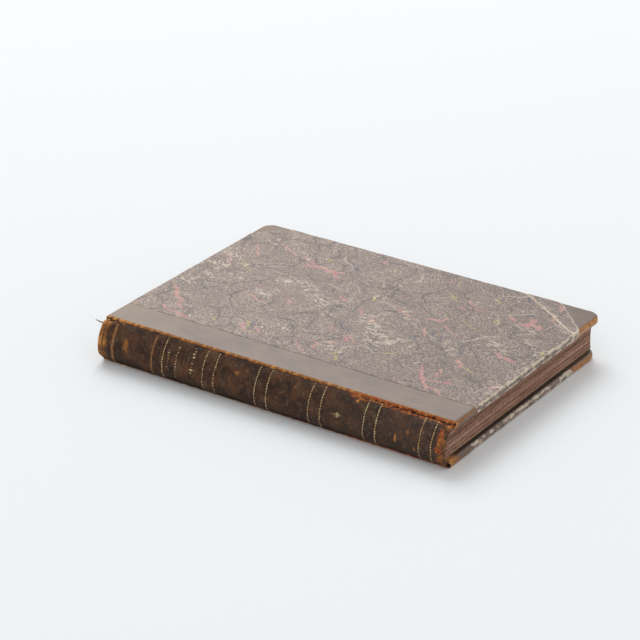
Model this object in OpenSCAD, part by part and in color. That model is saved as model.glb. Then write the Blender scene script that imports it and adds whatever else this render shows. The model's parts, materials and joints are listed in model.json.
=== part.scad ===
// Half-leather book lying closed on its back cover.
// X runs along the spine with the head at -X, Y runs from the spine to the fore edge, Z is up.
// The origin is at the middle of the book's underside.

/* [Boards] */
// Height of a covered board, along the spine
board_h = 230; // [180:1:300]
// Width of a covered board, from its hinge line to the fore edge
board_w = 159; // [110:1:210]
// Thickness of the bare millboard
board_t = 3.6; // [2.6:0.1:5]
// Rounding of the millboard's worn edges
edge_r = 1.0; // [0.4:0.1:1.2]
// Bumped radius of the covered fore corners
corner_r = 7; // [3:0.5:12]
// Bare leather between the hinge line and the board
joint_gap = 4; // [3.5:0.1:6]

/* [Coverings] */
// Thickness of the covering leather
leather_t = 0.5; // [0.35:0.05:0.8]
// Thickness of the marbled paper
paper_t = 0.2; // [0.1:0.05:0.3]
// Leather seen on the side, from the hinge line
side_w = 21.5; // [14:0.5:40]
// Leather that the paper laps along the side
side_lap = 3; // [1:0.5:6]
// Leather corner at the head, along each edge
head_corner = 20; // [12:0.5:40]
// Leather corner at the tail, along each edge
tail_corner = 27; // [12:0.5:40]
// Leather that the paper laps at a corner, along the fore edge
corner_lap = 12; // [2:0.5:18]
// Width of the coverings turned in over the board
turn_in = 13; // [8:0.5:20]
// Bare margin round the pastedown
paste_margin = 4; // [2:0.5:8]

/* [Page block] */
// Thickness of the pages at the fore edge
pages_t = 14.6; // [8:0.1:40]
// Board that stands out past the pages at head and tail
square_end = 3.2; // [2:0.1:5]
// Board that stands out past the pages at the fore edge
square_fore = 6.5; // [3:0.1:9]
// Thickness of an endpaper leaf
leaf_t = 0.15; // [0.1:0.05:0.3]
// Hollow of the fore edge
fore_hollow = 0.8; // [0:0.1:3]
// Length over which the backed sections rise to a shoulder
shoulder_run = 7; // [5:0.5:9]

/* [Spine] */
// Depth of the spine's round behind the front hinge line
spine_round = 8.3; // [6:0.1:11]
// How far the back hinge line lies behind the front one
spine_lean = 4.5; // [0:0.1:6]
// Thickness of the card stiffener in the spine
stiffener_t = 0.5; // [0.3:0.05:0.8]
// Film of paste on each side of the stiffener and under the gilt fillets
paste_t = 0.02; // [0.01:0.01:0.05]
// Thickness of the lining on the back of the pages
lining_t = 0.2; // [0.1:0.05:0.4]
// How far the loose leather stands off at the tail
tail_flare = 1.8; // [0:0.1:3]
// Length of the loose leather at the tail
flare_l = 40; // [20:1:60]

/* [Tooling] */
// Number of flat bands between pairs of fillets
band_count = 7; // [3:1:9]
// Width of a band
band_w = 8.2; // [5:0.1:12]
// Relief of a band
band_relief = 0.3; // [0.1:0.05:0.6]
// From the head end to the middle of the first band
head_margin = 7.1; // [7:0.1:14]
// From the tail end to the middle of the last band
tail_margin = 12.8; // [7:0.1:20]
// Width of a gilt fillet
fillet_w = 0.6; // [0.3:0.05:1]
// Thickness of the gilt fillet over the leather
fillet_t = 0.08; // [0.06:0.01:0.12]

/* [Sewing] */
// Radius of a sewing cord
cord_r = 0.75; // [0.5:0.05:1]
// From the end of the pages to the outermost sewing cord
cord_margin = 28; // [12:1:40]
// Play of a cord in its saw cut
cord_play = 0.1; // [0.05:0.05:0.2]

/* [Joints] */
// Depth of a hinge axis under a board's outer face
hinge_depth = 0.4; // [0.3:0.05:0.5]
// Clearance round a hinge
hinge_gap = 0.3; // [0.25:0.05:0.4]
// Clearance between a closed cover and the endpaper
cover_gap = 0.3; // [0.2:0.05:0.5]

/* [Hidden] */
$fn = 48;

// Colours
page_colour = [0.60, 0.43, 0.36];
endpaper_colour = [0.80, 0.70, 0.56];
spine_colour = [0.20, 0.13, 0.10];
side_colour = [0.36, 0.30, 0.27];
marble_colour = [0.52, 0.46, 0.43];
gilt_colour = [0.78, 0.64, 0.34];
millboard_colour = [0.62, 0.52, 0.40];
cord_colour = [0.74, 0.66, 0.50];

// Thickness of the parts of a cover, outer face first
cover_t = leather_t + board_t + leather_t + leaf_t;
total_t = pages_t + 2 * (cover_t + cover_gap + leaf_t);
board_top = -leather_t;
board_low = board_top - board_t;

// Layers of the spine, from the leather's outer face to the pages
fold_t = 2 * leather_t + stiffener_t;
block_depth = fold_t + lining_t;
half_h = board_h / 2;
half_pages = half_h - square_end;
steps = 20;
edge_step = 1;
fold_steps = 6;
ramp = 0.5;

// Corners of the curve that rounds the spine, from the front hinge to the back one
edge_drop = 2 * hinge_depth + hinge_gap;
round_points = [
    [-hinge_depth, total_t - edge_drop],
    [-0.87 * spine_round, 0.80 * total_t],
    [-1.45 * spine_round, 0.26 * total_t],
    [-spine_lean - hinge_depth, edge_drop]
];

// Heights of the pages' flat faces
pages_low = cover_t + cover_gap + leaf_t;
pages_top = pages_low + pages_t;
fore_y = board_w - square_fore;

cord_pitch = (half_pages - cord_margin) / 2;
band_pitch = (board_h - head_margin - tail_margin) / (band_count - 1);
spine_reach = max([
    for (j = [0:steps])
        for (x = field_x()) -skin(j / steps, x, relief(x) * fade(j / steps), 1)[1]
]);
hinge_y = (spine_reach - board_w) / 2;

// Point of a four-point curve
function curve(p, t) =
    pow(1 - t, 3) * p[0] + 3 * t * pow(1 - t, 2) * p[1]
    + 3 * t * t * (1 - t) * p[2] + pow(t, 3) * p[3];

// Direction of a four-point curve
function curve_dir(p, t) =
    pow(1 - t, 2) * (p[1] - p[0]) + 2 * t * (1 - t) * (p[2] - p[1]) + t * t * (p[3] - p[2]);

// Outward normal of the spine's round, as [y, z]
function round_normal(t) =
    let (d = curve_dir(round_points, t))
    [d[1], -d[0]] / norm(d);

// Point of the spine's round, a distance out from the leather's face
function round_at(t, out) = curve(round_points, t) + out * round_normal(t);

// Outward slip of the loose leather at the tail, and how it spreads round the spine
function flare(x) = tail_flare * pow(max(0, (x - half_h + flare_l) / flare_l), 2);
function spread(t) = 0.5 * (1 - t) + 0.7 * sin(180 * t);

// Bands lose their relief towards the hinges
function fade(t) = min(1, 8 * t, 8 * (1 - t));

// Point on the spine's skin; loose is 1 for what slips out at the tail and 0 for what is sewn
function skin(t, x, out, loose) =
    let (q = round_at(t, out))
    [x, q[0] - loose * flare(x) * spread(t), q[1]];

function band_x(i) = -half_h + head_margin + i * band_pitch;

// Stations along the spine, with four at each band and two in each field
function field_x() = [
    for (i = [0:band_count - 1])
        each concat(
            [band_x(i) - band_w / 2 - ramp, band_x(i) - band_w / 2],
            [band_x(i) + band_w / 2, band_x(i) + band_w / 2 + ramp],
            i < band_count - 1
                ? [band_x(i) + band_pitch * 0.38, band_x(i) + band_pitch * 0.62]
                : []
        ),
    half_h - fold_t
];

function relief(x) =
    max([for (i = [0:band_count - 1]) abs(x - band_x(i)) <= band_w / 2 + 0.001 ? band_relief : 0]);

// Stations of the stiffener, close together where the leather is loose
function lining_x(x_end) = [
    -x_end,
    for (k = [0:8]) half_h - flare_l + k * (x_end - half_h + flare_l) / 9,
    x_end
];

// Half circle round a folded end, from the outer face to the turned-in one
function fold_arc(side, r) = [
    for (k = [0:fold_steps])
        let (a = 90 - 180 * k / fold_steps)
        [side * (half_h - fold_t / 2 + r * cos(a)), -fold_t / 2 + r * sin(a), 0]
];

function reversed(list) = [for (i = [len(list) - 1:-1:0]) list[i]];

// Triangles between two rows of a point list
function row_faces(a, b, count) = [
    for (k = [0:count - 2]) each [[a + k, a + k + 1, b + k], [a + k + 1, b + k + 1, b + k]]
];

// Carries a sheet round the spine: its two faces are lists of [x, out, relief] points
module carry_round(top, under, first, last, loose = 1) {
    count = len(top);
    ring = 2 * count;
    rings = last - first;
    points = [
        for (j = [first:last])
            for (p = concat(top, under))
                skin(j / steps, p[0], p[1] + p[2] * fade(j / steps), loose)
    ];
    skins = [
        for (j = [0:rings - 1])
            each concat(
                row_faces(j * ring, (j + 1) * ring, count),
                row_faces((j + 1) * ring + count, j * ring + count, count)
            )
    ];
    rims = [
        for (j = [0:rings - 1])
            let (a = j * ring, b = a + ring)
            each [
                [a, b, a + count], [b, b + count, a + count],
                [a + count - 1, a + ring - 1, b + count - 1],
                [a + ring - 1, b + ring - 1, b + count - 1]
            ]
    ];
    ends = concat(
        row_faces(count, 0, count),
        row_faces(rings * ring, rings * ring + count, count)
    );
    polyhedron(points = points, faces = concat(skins, rims, ends), convexity = 8);
}

// Draws a (y, z) outline along X
module along_x(x0, x1) {
    translate([x0, hinge_y, 0])
        rotate([90, 0, 90])
            linear_extrude(x1 - x0)
                children();
}

// Outline between two depths of the spine's round
module round_band(out_a, out_b, first, last) {
    polygon(concat(
        [for (j = [first:last]) round_at(j / steps, out_a)],
        [for (j = [last:-1:first]) round_at(j / steps, out_b)]
    ));
}

// Faces of the pages that rise to the shoulders, from the tip to the flat
function shoulder_curve(tip, flat_y, flat_z) =
    let (p = [
        tip,
        [tip[0] + 0.2 * (flat_y - tip[0]), flat_z + 0.25 * (tip[1] - flat_z)],
        [tip[0] + 0.45 * (flat_y - tip[0]), flat_z],
        [flat_y, flat_z]
    ])
    [for (k = [0:8]) curve(p, k / 8)];

front_tip = round_at(edge_step / steps, -block_depth);
back_tip = round_at(1 - edge_step / steps, -block_depth);
front_shoulder = shoulder_curve(front_tip, front_tip[0] + shoulder_run, pages_top);
back_shoulder = shoulder_curve(back_tip, back_tip[0] + shoulder_run, pages_low);

// Concave fore edge, from the back up
fore_edge = [
    for (k = [0:8])
        let (s = k / 8)
        [fore_y - 4 * fore_hollow * s * (1 - s), pages_low + s * pages_t]
];

module pages_outline() {
    polygon(concat(
        [for (j = [edge_step:steps - edge_step]) round_at(j / steps, -block_depth)],
        [for (k = [1:8]) back_shoulder[k]],
        fore_edge,
        [for (k = [8:-1:1]) front_shoulder[k]]
    ));
}

cord_depth = cord_r + cord_play;

function cord_x(i) = (i - 3) * cord_pitch;

// The pages: rounded, backed to two shoulders, and sawn across the back for the cords
module text_block() {
    color(page_colour)
        difference() {
            along_x(-half_pages, half_pages) pages_outline();
            for (i = [1:5])
                along_x(cord_x(i) - cord_depth, cord_x(i) + cord_depth)
                    round_band(-block_depth - 2 * cord_depth, 1, 0, steps);
        }
}

// Free endpaper that follows a shoulder and then lies flat on the pages
module endpaper(shoulder, lift) {
    color(endpaper_colour)
        along_x(-half_pages, half_pages)
            polygon(concat(
                [for (p = shoulder) p],
                [[fore_y, shoulder[8][1]], [fore_y, shoulder[8][1] + lift]],
                [for (p = reversed(shoulder)) p + [0, lift]]
            ));
}

module front_endpaper() { endpaper(front_shoulder, leaf_t); }
module back_endpaper() { endpaper(back_shoulder, -leaf_t); }

// Hemp cord recessed in its saw cut
module sewing_cord(i) {
    function around(a) = [
        cord_x(i) + cord_r * cos(a), -block_depth - cord_depth + cord_r * sin(a), 0
    ];
    color(cord_colour)
        translate([0, hinge_y, 0])
            carry_round(
                [for (a = [157.5:-45:22.5]) around(a)],
                [for (a = [202.5:45:337.5]) around(a)],
                2, steps - 2, 0
            );
}

module sewing_cord_1() { sewing_cord(1); }
module sewing_cord_2() { sewing_cord(2); }
module sewing_cord_3() { sewing_cord(3); }
module sewing_cord_4() { sewing_cord(4); }
module sewing_cord_5() { sewing_cord(5); }

// Paper lining pasted on the back of the pages
module spine_lining() {
    color(endpaper_colour)
        along_x(-half_pages, half_pages)
            round_band(-block_depth, -fold_t, edge_step, steps - edge_step);
}

// Card that keeps the round of the hollow spine
module spine_stiffener() {
    xs = lining_x(half_h - fold_t / 2);
    color(millboard_colour)
        translate([0, hinge_y, 0])
            carry_round(
                [for (x = xs) [x, -leather_t - paste_t, 0]],
                [for (x = xs) [x, -leather_t - stiffener_t + paste_t, 0]],
                2, steps - 2
            );
}

// Turned-in part of the leather at one end, from its pared edge to the fold
function turned_in(side, out) = [
    for (x = [half_h - turn_in, half_h - turn_in / 2, half_h - fold_t]) [side * x, out, 0]
];

// One skin of leather: bands in relief outside, and both ends folded round the stiffener
module spine_leather() {
    inner_r = fold_t / 2 - leather_t;
    top = concat(
        turned_in(-1, -fold_t),
        reversed(fold_arc(-1, fold_t / 2)),
        [for (x = field_x()) [x, 0, relief(x)]],
        fold_arc(1, fold_t / 2),
        reversed(turned_in(1, -fold_t))
    );
    under = concat(
        turned_in(-1, leather_t - fold_t),
        reversed(fold_arc(-1, inner_r)),
        [for (x = field_x()) [x, -leather_t, 0]],
        fold_arc(1, inner_r),
        reversed(turned_in(1, leather_t - fold_t))
    );
    color(spine_colour)
        translate([0, hinge_y, 0])
            carry_round(top, under, 0, steps);
}

// Pairs of gilt lines along the edges of the bands
module gilt_fillets() {
    color(gilt_colour)
        translate([0, hinge_y, 0])
            for (i = [0:band_count - 1])
                for (side = [-1, 1])
                    fillet_line(band_x(i) + side * (band_w - fillet_w) / 2);
}

module fillet_line(x) {
    xs = [x - fillet_w / 2, x + fillet_w / 2];
    carry_round(
        [for (u = xs) [u, fillet_t, band_relief]],
        [for (u = xs) [u, paste_t, band_relief]],
        1, steps - 1
    );
}

// Bar section whose far end is rounded
module round_ended(l, t, r) {
    square([l - r, t]);
    translate([0, r]) square([l, t - 2 * r]);
    for (z = [r, t - r])
        translate([l - r, z]) circle(r);
}

// Section across a board and what covers it, grown by o
module board_section(o) {
    t = board_t + 2 * o;
    translate([0, board_low - o])
        for (m = [0, 1])
            mirror([m, 0]) round_ended(half_h - leather_t + o, t, edge_r + o);
}

// Board with rounded edges and bumped fore corners, grown by o except at the spine
module slab(o) {
    t = board_t + 2 * o;
    low = board_low - o;
    r = corner_r - leather_t + o;
    x_end = half_h - leather_t + o;
    y_end = board_w - leather_t + o;
    translate([0, y_end - r, 0])
        rotate([90, 0, 0])
            linear_extrude(y_end - r - joint_gap)
                board_section(o);
    translate([-(x_end - r), joint_gap, low])
        rotate([90, 0, 90])
            linear_extrude(2 * (x_end - r))
                round_ended(y_end - joint_gap, t, edge_r + o);
    for (side = [-1, 1])
        translate([side * (x_end - r), y_end - r, low])
            rotate_extrude()
                round_ended(r, t, edge_r + o);
}

// Skin on the board between two heights, with its turn-ins on the inner face
module skin_on_board(o_in, o_out) {
    difference() {
        slab(o_out);
        slab(o_in);
        translate([-half_h + turn_in, 0, board_low - 2 * leather_t])
            cube([board_h - 2 * turn_in, board_w - turn_in, 2 * leather_t]);
    }
}

module upright() {
    translate([0, 0, -2 * cover_t])
        linear_extrude(3 * cover_t)
            children();
}

module strip_area(y0, y1) {
    translate([-board_h, y0]) square([2 * board_h, y1 - y0]);
}

// Triangle at a fore corner, with its legs along the head or tail edge and the fore edge
module corner_area(side, across, along) {
    x = side * half_h;
    x_out = x + side * corner_r;
    y_out = board_w + corner_r;
    polygon([
        [x - side * along, board_w], [x - side * along, y_out],
        [x_out, y_out], [x_out, board_w - across], [x, board_w - across]
    ]);
}

function corner_size(side) = side > 0 ? tail_corner : head_corner;

module full_corner(side) {
    leg = corner_size(side);
    corner_area(side, leg + side_lap, leg + corner_lap);
}

module seen_corner(side) {
    leg = corner_size(side);
    corner_area(side, leg, leg);
}

// Area of the paper from a line beside the spine, less the areas given as children
module paper_area(y_start) {
    difference() {
        strip_area(y_start, board_w + corner_r);
        children();
    }
}

module cover_board() {
    color(millboard_colour)
        slab(0);
}

// Leather that runs from the hinge line over the board, pared under the paper
module leather_side() {
    color(side_colour) {
        intersection() {
            skin_on_board(0, leather_t);
            upright() strip_area(0, side_w);
        }
        intersection() {
            skin_on_board(0, leather_t - paper_t);
            upright() strip_area(0, side_w + side_lap);
        }
        translate([0, joint_gap + edge_r, 0])
            rotate([90, 0, 0])
                linear_extrude(joint_gap + edge_r - hinge_gap)
                    intersection() {
                        board_section(leather_t);
                        translate([-half_h, board_top]) square([board_h, leather_t]);
                    }
    }
}

// Leather over a fore corner, pared under the paper
module leather_corner(side) {
    color(side_colour) {
        intersection() {
            skin_on_board(0, leather_t);
            upright() seen_corner(side);
        }
        intersection() {
            skin_on_board(0, leather_t - paper_t);
            upright() full_corner(side);
        }
    }
}

// Marbled paper: its own thickness where it laps the leather, and on its lining elsewhere
module marbled_paper() {
    color(marble_colour) {
        intersection() {
            skin_on_board(0, leather_t);
            upright()
                paper_area(side_w + side_lap) {
                    full_corner(-1);
                    full_corner(1);
                }
        }
        intersection() {
            skin_on_board(leather_t - paper_t, leather_t);
            upright()
                paper_area(side_w) {
                    seen_corner(-1);
                    seen_corner(1);
                }
        }
    }
}

// Endpaper pasted over the turn-ins, with the card that levels the board between them
module pastedown() {
    low = board_low - leather_t;
    color(endpaper_colour) {
        translate([-half_h + paste_margin, joint_gap, low - leaf_t])
            cube([board_h - 2 * paste_margin, board_w - paste_margin - joint_gap, leaf_t]);
        translate([-half_h + turn_in, joint_gap, low])
            cube([board_h - 2 * turn_in, board_w - turn_in - joint_gap, leather_t]);
    }
}

module front_place() {
    translate([0, hinge_y, total_t]) children();
}

module back_place() {
    translate([0, hinge_y - spine_lean, 0]) mirror([0, 0, 1]) children();
}

module front_board() { front_place() cover_board(); }
module front_leather_side() { front_place() leather_side(); }
module front_head_corner() { front_place() leather_corner(-1); }
module front_tail_corner() { front_place() leather_corner(1); }
module front_marbled_paper() { front_place() marbled_paper(); }
module front_pastedown() { front_place() pastedown(); }

module back_board() { back_place() cover_board(); }
module back_leather_side() { back_place() leather_side(); }
module back_head_corner() { back_place() leather_corner(-1); }
module back_tail_corner() { back_place() leather_corner(1); }
module back_marbled_paper() { back_place() marbled_paper(); }
module back_pastedown() { back_place() pastedown(); }

text_block();
front_endpaper();
back_endpaper();
sewing_cord_1();
sewing_cord_2();
sewing_cord_3();
sewing_cord_4();
sewing_cord_5();
spine_lining();
spine_stiffener();
spine_leather();
gilt_fillets();
front_board();
front_leather_side();
front_head_corner();
front_tail_corner();
front_marbled_paper();
front_pastedown();
back_board();
back_leather_side();
back_head_corner();
back_tail_corner();
back_marbled_paper();
back_pastedown();
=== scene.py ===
# Looks of the old half-leather book: skins of the covers, spine, gilding, pages, finishes and light.
import bpy
import bmesh
import math
import numpy as np
from mathutils import Matrix, Vector
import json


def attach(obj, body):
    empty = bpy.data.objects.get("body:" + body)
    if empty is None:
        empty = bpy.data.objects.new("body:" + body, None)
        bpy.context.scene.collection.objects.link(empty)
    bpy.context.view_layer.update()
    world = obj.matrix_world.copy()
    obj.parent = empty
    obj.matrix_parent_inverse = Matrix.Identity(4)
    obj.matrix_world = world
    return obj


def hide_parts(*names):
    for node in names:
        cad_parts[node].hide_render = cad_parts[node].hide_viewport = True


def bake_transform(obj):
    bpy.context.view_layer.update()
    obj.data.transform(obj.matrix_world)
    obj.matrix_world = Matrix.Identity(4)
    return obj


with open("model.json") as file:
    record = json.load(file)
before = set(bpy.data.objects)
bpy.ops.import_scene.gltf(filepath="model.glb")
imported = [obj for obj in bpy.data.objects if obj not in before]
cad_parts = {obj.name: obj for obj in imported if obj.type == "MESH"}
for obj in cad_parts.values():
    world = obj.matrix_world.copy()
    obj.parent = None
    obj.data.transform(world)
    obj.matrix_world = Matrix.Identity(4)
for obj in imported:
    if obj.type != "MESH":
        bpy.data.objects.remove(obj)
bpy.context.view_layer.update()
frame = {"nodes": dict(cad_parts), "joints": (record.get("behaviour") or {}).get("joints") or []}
hinges = {j["name"]: j for j in frame["joints"]}

# Sizes shared by all the pieces, in millimetres, as the solids have them
book = {
    "height": 230.0, "width": 159.0, "thickness": 25.0, "boardT": 3.6, "leatherT": 0.5,
    "edgeR": 1.0, "cornerR": 7.0, "turnIn": 13.0, "lean": 4.5,
    "pagesT": 14.6, "squareEnd": 3.2, "squareFore": 6.5, "pagesLow": 5.2,
    "foldT": 1.5, "blockDepth": 1.7,
    "hingeY": hinges["front_hinge"]["pos_m"][1] * 1000,
}
halfH = book["height"] / 2
mm = 0.001
noArea = 1e-5  # square millimetres
samePlace = 1e-6  # metres
tiny = 1e-9  # keeps a division from zero


# Meshes: every piece is a grid of points worked out by numpy

def smooth(value, start, end):
    # S-shaped step from 0 at start to 1 at end
    s = np.clip((value - start) / (end - start), 0, 1)
    return s * s * (3 - 2 * s)


def hump(value, width):
    # Bell curve, 1 at 0 and about a third at width
    return np.exp(-(value / width) ** 2)


def fall(value, width):
    # 1 up to 0, then dying away over about width
    return np.exp(-np.maximum(0, value) / width)


def wander(seed, size, *coords):
    # Sum of nine sine waves of seeded direction and phase, about size long, roughly -1 to 1
    rng = np.random.default_rng(seed)
    total = 0
    for _ in range(9):
        turn = rng.normal(size=len(coords))
        turn /= np.linalg.norm(turn) + tiny
        pace = 2 * math.pi / (size * rng.uniform(0.6, 1.9))
        total = total + np.sin(sum(c * t for c, t in zip(coords, turn)) * pace + rng.uniform(0, 6.283))
    return total / 4.0


def gridFaces(rows, cols, flip=False, closed=False):
    # Four corners of every cell of a grid whose points are numbered row by row
    r = np.arange(rows - 1)[:, None]
    c = np.arange(cols if closed else cols - 1)[None, :]
    n = (c + 1) % cols
    quad = np.stack([r * cols + c, r * cols + n, (r + 1) * cols + n, (r + 1) * cols + c], -1).reshape(-1, 4)
    return quad[:, ::-1] if flip else quad


def makeMesh(name, points, quads, finish, marks=None, uv=None, weld=False):
    # Points in millimetres and quads into one mesh; cells without area are left out
    points = np.ascontiguousarray(points, dtype=float).reshape(-1, 3)
    a, b, c, d = (points[quads[:, i]] for i in range(4))
    quads = quads[np.linalg.norm(np.cross(c - a, d - b), axis=1) > noArea]
    mesh = bpy.data.meshes.new(name)
    mesh.vertices.add(len(points))
    mesh.vertices.foreach_set("co", (points * mm).astype(np.float32).ravel())
    mesh.loops.add(quads.size)
    mesh.loops.foreach_set("vertex_index", quads.astype(np.int32).ravel())
    mesh.polygons.add(len(quads))
    mesh.polygons.foreach_set("loop_start", np.arange(0, quads.size, 4, dtype=np.int32))
    mesh.polygons.foreach_set("use_smooth", np.ones(len(quads), bool))
    mesh.update(calc_edges=True)
    for key, values in (marks or {}).items():
        layer = mesh.attributes.new(key, "FLOAT", "POINT")
        layer.data.foreach_set("value", np.ascontiguousarray(values, dtype=np.float32).ravel())
    if uv is not None:
        layer = mesh.uv_layers.new(name="along")
        layer.data.foreach_set("uv", uv.reshape(-1, 2)[quads.ravel()].astype(np.float32).ravel())
    if weld:
        shell = bmesh.new()
        shell.from_mesh(mesh)
        bmesh.ops.remove_doubles(shell, verts=shell.verts, dist=samePlace)
        bmesh.ops.delete(shell, geom=[v for v in shell.verts if not v.link_faces], context="VERTS")
        bmesh.ops.recalc_face_normals(shell, faces=shell.faces)
        shell.to_mesh(mesh)
        shell.free()
    mesh.validate()
    mesh.materials.append(finish)
    piece = bpy.data.objects.new(name, mesh)
    bpy.context.scene.collection.objects.link(piece)
    return piece


# Finishes: one class wraps a socket, so that sums of sockets can be written as they are

class Flow:
    def __init__(self, nodes, socket):
        self.nodes, self.socket = nodes, socket

    def calc(self, operation, *values):
        return self.nodes.add("ShaderNodeMath", {"operation": operation}, dict(enumerate(values)))

    def __add__(self, other):
        return self.calc("ADD", self, other)

    def __radd__(self, other):
        return self.calc("ADD", other, self)

    def __sub__(self, other):
        return self.calc("SUBTRACT", self, other)

    def __rsub__(self, other):
        return self.calc("SUBTRACT", other, self)

    def __mul__(self, other):
        return self.calc("MULTIPLY", self, other)

    def __rmul__(self, other):
        return self.calc("MULTIPLY", other, self)

    def __truediv__(self, other):
        return self.calc("DIVIDE", self, other)

    def __rtruediv__(self, other):
        return self.calc("DIVIDE", other, self)

    def larger(self, other):
        return self.calc("MAXIMUM", self, other)

    def size(self):
        return self.calc("ABSOLUTE", self)

    def sine(self):
        return self.calc("SINE", self)

    def sibling(self, out):
        # Another output of the same node
        return Flow(self.nodes, self.socket.node.outputs[out])


class Nodes:
    # The node tree of a material or of the world
    def __init__(self, owner):
        owner.use_nodes = True
        self.tree = owner.node_tree
        self.tree.nodes.clear()

    def add(self, kind, settings=None, inputs=None, out=0):
        # A node from its type, its settings first, then the values or links of its sockets
        node = self.tree.nodes.new(kind)
        for key, value in (settings or {}).items():
            setattr(node, key, value)
        for key, value in (inputs or {}).items():
            if isinstance(value, Flow):
                self.tree.links.new(value.socket, node.inputs[key])
            else:
                node.inputs[key].default_value = value
        return Flow(self, node.outputs[out]) if node.outputs else None


class Finish(Nodes):
    # A material with one Principled shader, the colour so far, and short ways to the nodes it needs.
    # In each finish below, f is the finish and p the place on the object
    def __init__(self, name, roughness, gloss=0.5):
        self.material = bpy.data.materials.new(name)
        super().__init__(self.material)
        shader = self.add("ShaderNodeBsdfPrincipled", None, {
            "Roughness": roughness, "Specular IOR Level": gloss})
        self.add("ShaderNodeOutputMaterial", None, {0: shader})
        self.sockets = shader.socket.node.inputs
        self.colour = None

    def place(self, scale=(1, 1, 1), source=None):
        # Object coordinates, or another vector, stretched by scale
        if source is None:
            source = self.add("ShaderNodeTexCoord", out="Object")
        return self.vector("MULTIPLY", source, scale)

    def uv(self):
        return self.add("ShaderNodeUVMap", {"uv_map": "along"})

    def mark(self, name):
        return self.add("ShaderNodeAttribute", {"attribute_name": name}, out="Fac")

    def axes(self, vector):
        x = self.add("ShaderNodeSeparateXYZ", None, {0: vector})
        return x, x.sibling(1), x.sibling(2)

    def vector(self, operation, first, second, slot=1):
        return self.add("ShaderNodeVectorMath", {"operation": operation}, {0: first, slot: second})

    def turned(self, vector, angle):
        return self.add("ShaderNodeVectorRotate", {"rotation_type": "Z_AXIS"}, {
            "Vector": vector, "Angle": angle})

    def noise(self, vector, grain, detail=3.0, rough=0.55, out=0):
        # Noise whose blobs are about grain millimetres wide
        return self.add("ShaderNodeTexNoise", None, {
            "Vector": vector, "Scale": 1 / (grain * mm), "Detail": detail, "Roughness": rough}, out)

    def cells(self, vector, grain, feature="DISTANCE_TO_EDGE"):
        return self.add("ShaderNodeTexVoronoi", {"feature": feature}, {
            "Vector": vector, "Scale": 1 / (grain * mm)})

    def step(self, value, start, end):
        # 0 at start, 1 at end; start may be the larger
        return self.add("ShaderNodeMapRange", {"interpolation_type": "SMOOTHSTEP"}, {
            "Value": value, "From Min": start, "From Max": end})

    def spots(self, vector, grain, start, end, detail=3.0, rough=0.55):
        # Noise parted into soft-edged spots by a step
        return self.step(self.noise(vector, grain, detail, rough), start, end)

    def stray(self, vector, grain, amount, rough, detail=5.0):
        # Noise about 0, which makes the edge of a step wander
        return (self.noise(vector, grain, detail, rough) - 0.5) * amount

    def shift(self, vector, amount, source, grain, detail=2.0):
        # Moves a vector by the colour of a noise, up to about amount millimetres
        middle = self.vector("SUBTRACT", self.noise(source, grain, detail, out=1), (0.5, 0.5, 0.5))
        return self.vector("ADD", vector, self.vector("SCALE", middle, 2 * amount * mm, "Scale"))

    def mix(self, share, *pair):
        # Two tones by name, or colours mixed before
        first, second = (tone if isinstance(tone, Flow) else (*tones[tone], 1) for tone in pair)
        return self.add("ShaderNodeMix", {"data_type": "RGBA"}, {0: share, 6: first, 7: second}, 2)

    def paint(self, share, tone):
        # Lays a tone over the colour so far
        self.colour = self.mix(share, self.colour, tone)

    def done(self, height, depth, roughness=None, metallic=None):
        # Height is the relief of the surface, depth in millimetres its full range
        bump = self.add("ShaderNodeBump", None, {"Height": height, "Strength": 1.0, "Distance": depth * mm})
        varying = {"Base Color": self.colour, "Normal": bump, "Roughness": roughness, "Metallic": metallic}
        for key, flow in varying.items():
            if flow is not None:
                self.tree.links.new(flow.socket, self.sockets[key])
        return self.material


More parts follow.
